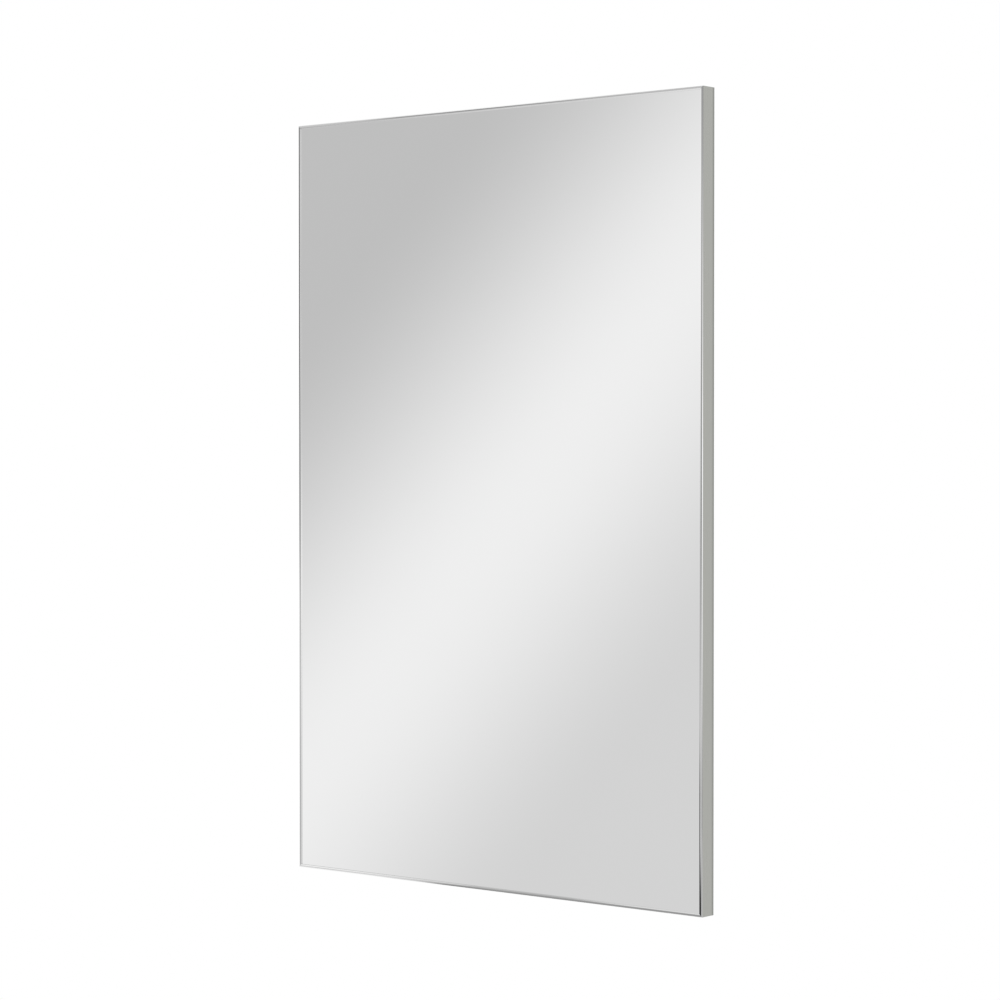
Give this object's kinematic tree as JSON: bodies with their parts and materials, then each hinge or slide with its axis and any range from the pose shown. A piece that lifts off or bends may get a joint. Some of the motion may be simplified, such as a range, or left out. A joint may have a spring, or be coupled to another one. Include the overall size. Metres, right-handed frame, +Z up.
{
  "type": "lighted bathroom mirror",
  "caption": "Rectangular wall mirror in a slim mitred metal frame, hung on interlocking rails, with hidden backlight channels and a rocker switch under its lower edge.",
  "frame": {"origin": "midway between the two wall screw slots, on the wall's face", "axes": "+X to the right of someone facing the mirror, +Y into the wall, +Z up"},
  "size_m": [0.6, 0.036, 0.9018],
  "materials": {
    "mirror_silver": "silvered float glass, polished",
    "safety_film": "grey polyester safety film",
    "tape_foam": "closed-cell bonding tape",
    "frame_metal": "satin anodised sides, polished front lip",
    "sheet_metal": "mill-finish sheet",
    "key_metal": "die-cast, as cast",
    "screw_steel": "zinc-plated steel",
    "rivet_metal": "bright aluminium rivet",
    "channel_metal": "silver anodised extrusion",
    "strip_board": "white flexible circuit with diodes",
    "opal_cover": "opal polycarbonate, satin",
    "cap_plastic": "grey moulded plastic",
    "white_lead": "white low-voltage lead",
    "black_lead": "black mains lead",
    "rail_steel": "galvanised steel",
    "tray_steel": "galvanised steel sheet",
    "black_rubber": "moulded rubber",
    "white_plastic": "white moulded plastic",
    "terminal_plastic": "natural nylon",
    "switch_plastic": "black moulded plastic",
    "rocker_plastic": "black moulded plastic, polished",
    "blade_brass": "tin-free brass blade"
  },
  "bodies": {
    "wall_rail": {"wall_rail": "rail_steel"},
    "mirror": {"adhesive_pads": "tape_foam", "back_panel": "sheet_metal", "back_panel_screws": "screw_steel", "bonding_tape": "tape_foam", "channel_end_caps": "cap_plastic", "channel_screws": "screw_steel", "corner_jumpers": "white_lead", "corner_key_bottom_left": "key_metal", "corner_key_bottom_right": "key_metal", "corner_key_screws": "screw_steel", "corner_key_top_left": "key_metal", "corner_key_top_right": "key_metal", "diffuser_bottom": "opal_cover", "diffuser_left": "opal_cover", "diffuser_right": "opal_cover", "diffuser_top": "opal_cover", "driver_housing": "white_plastic", "driver_lid": "white_plastic", "electrical_tray": "tray_steel", "electrical_tray_rivets": "rivet_metal", "feed_lead": "white_lead", "feed_lead_clips": "cap_plastic", "frame_rail_bottom": "frame_metal", "frame_rail_left": "frame_metal", "frame_rail_right": "frame_metal", "frame_rail_top": "frame_metal", "hanging_rail": "rail_steel", "hanging_rail_rivets": "rivet_metal", "lead_grommet": "black_rubber", "led_strip_bottom": "strip_board", "led_strip_left": "strip_board", "led_strip_right": "strip_board", "led_strip_top": "strip_board", "light_channel_bottom": "channel_metal", "light_channel_left": "channel_metal", "light_channel_right": "channel_metal", "light_channel_top": "channel_metal", "mains_link": "black_lead", "mirror_glass": "mirror_silver", "safety_film": "safety_film", "switch_blades": "blade_brass", "switch_boot": "black_rubber", "switch_housing": "switch_plastic", "switch_lead": "black_lead", "switch_lead_clips": "cap_plastic", "terminal_block": "terminal_plastic", "terminal_box": "white_plastic", "terminal_box_lid": "white_plastic", "terminal_lid_screws": "screw_steel", "wall_spacer_left": "black_rubber", "wall_spacer_right": "black_rubber", "wall_spacer_screws": "screw_steel"},
    "rocker": {"switch_rocker": "rocker_plastic"}
  },
  "joints": [
    {"name": "mirror_lift", "type": "slide", "parent": "wall_rail", "child": "mirror", "axis": [0, 0, 1], "range_m": [0, 0.012]},
    {"name": "rocker_tilt", "type": "hinge", "parent": "mirror", "child": "rocker", "pos_m": [0.19, -0.02205, -0.7681], "axis": [0, -1, 0], "range_deg": [0, 16]}
  ]
}
